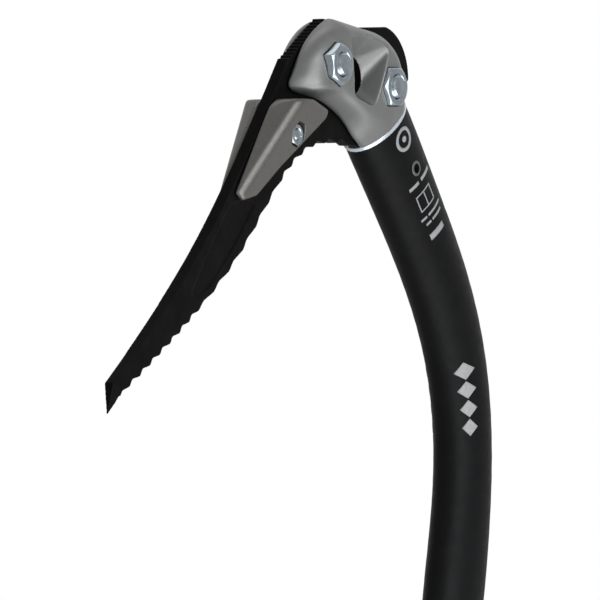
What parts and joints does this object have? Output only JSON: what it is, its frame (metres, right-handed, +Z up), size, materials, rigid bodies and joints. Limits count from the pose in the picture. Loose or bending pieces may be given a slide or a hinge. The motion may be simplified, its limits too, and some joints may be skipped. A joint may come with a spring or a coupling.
{
  "type": "leashless technical ice axe",
  "caption": "Bent-shaft ice axe with a toothed bolt-on pick, pick weights, a clip hole in the head, a sliding finger rest, an adjustable hand rest and a spike.",
  "frame": {"origin": "centre of the clip hole through the head, on the tool's middle plane", "axes": "+Z up as the tool hangs or is carried, pick towards -X, straight handle leaning 10 degrees forward on its way down to the spike, +Y across the tool to the side with the bolt heads, nuts on the -Y side"},
  "size_m": [0.2355, 0.0272, 0.504],
  "materials": {
    "shaft": "satin black paint with a fine grain on a light alloy tube",
    "collar": "polished bright edge",
    "head": "satin silver grey paint on a forging",
    "spacer": "plain machined",
    "pin": "dark satin steel",
    "pick_steel": "satin black coating on forged steel",
    "zinc_steel": "bright zinc plate",
    "weight": "satin grey paint on cast steel",
    "grip_rubber": "matt moulded rubber",
    "rest_plastic": "fine moulded grain",
    "lever_plastic": "fine moulded grain, grey",
    "pad_rubber": "matt rubber",
    "plug": "dark anodised",
    "spike_steel": "satin steel"
  },
  "bodies": {
    "axe": {"shaft_tube": "shaft", "shaft_collar": "collar", "left_cheek": "head", "right_cheek": "head", "cheek_spacer": "spacer", "head_pin": "pin", "pick": "pick_steel", "front_pick_bolt": "zinc_steel", "front_pick_nut": "zinc_steel", "rear_pick_bolt": "zinc_steel", "rear_pick_nut": "zinc_steel", "left_pick_weight": "weight", "right_pick_weight": "weight", "weight_bolt": "zinc_steel", "weight_nut": "zinc_steel", "grip_sleeve": "grip_rubber", "handle_plug": "plug", "plug_pins": "pin", "spike": "spike_steel"},
    "finger_rest_body": {"finger_rest": "rest_plastic", "lever_pin": "pin", "clamp_pad": "pad_rubber"},
    "clamp_lever_body": {"clamp_lever": "lever_plastic"},
    "hand_rest_body": {"hand_rest": "rest_plastic", "hand_rest_screw": "zinc_steel", "hand_rest_nut": "zinc_steel"}
  },
  "joints": [
    {"name": "finger_rest_slide", "type": "slide", "parent": "axe", "child": "finger_rest_body", "axis": [0.1736, 0, 0.9848], "range_m": [-0.006, 0.06]},
    {"name": "clamp_lever_hinge", "type": "hinge", "parent": "finger_rest_body", "child": "clamp_lever_body", "pos_m": [0.08567, 0, -0.27096], "axis": [0, -1, 0], "range_deg": [0, 95]},
    {"name": "hand_rest_slide", "type": "slide", "parent": "axe", "child": "hand_rest_body", "axis": [-0.1736, 0, -0.9848], "range_m": [0, 0.012]}
  ]
}
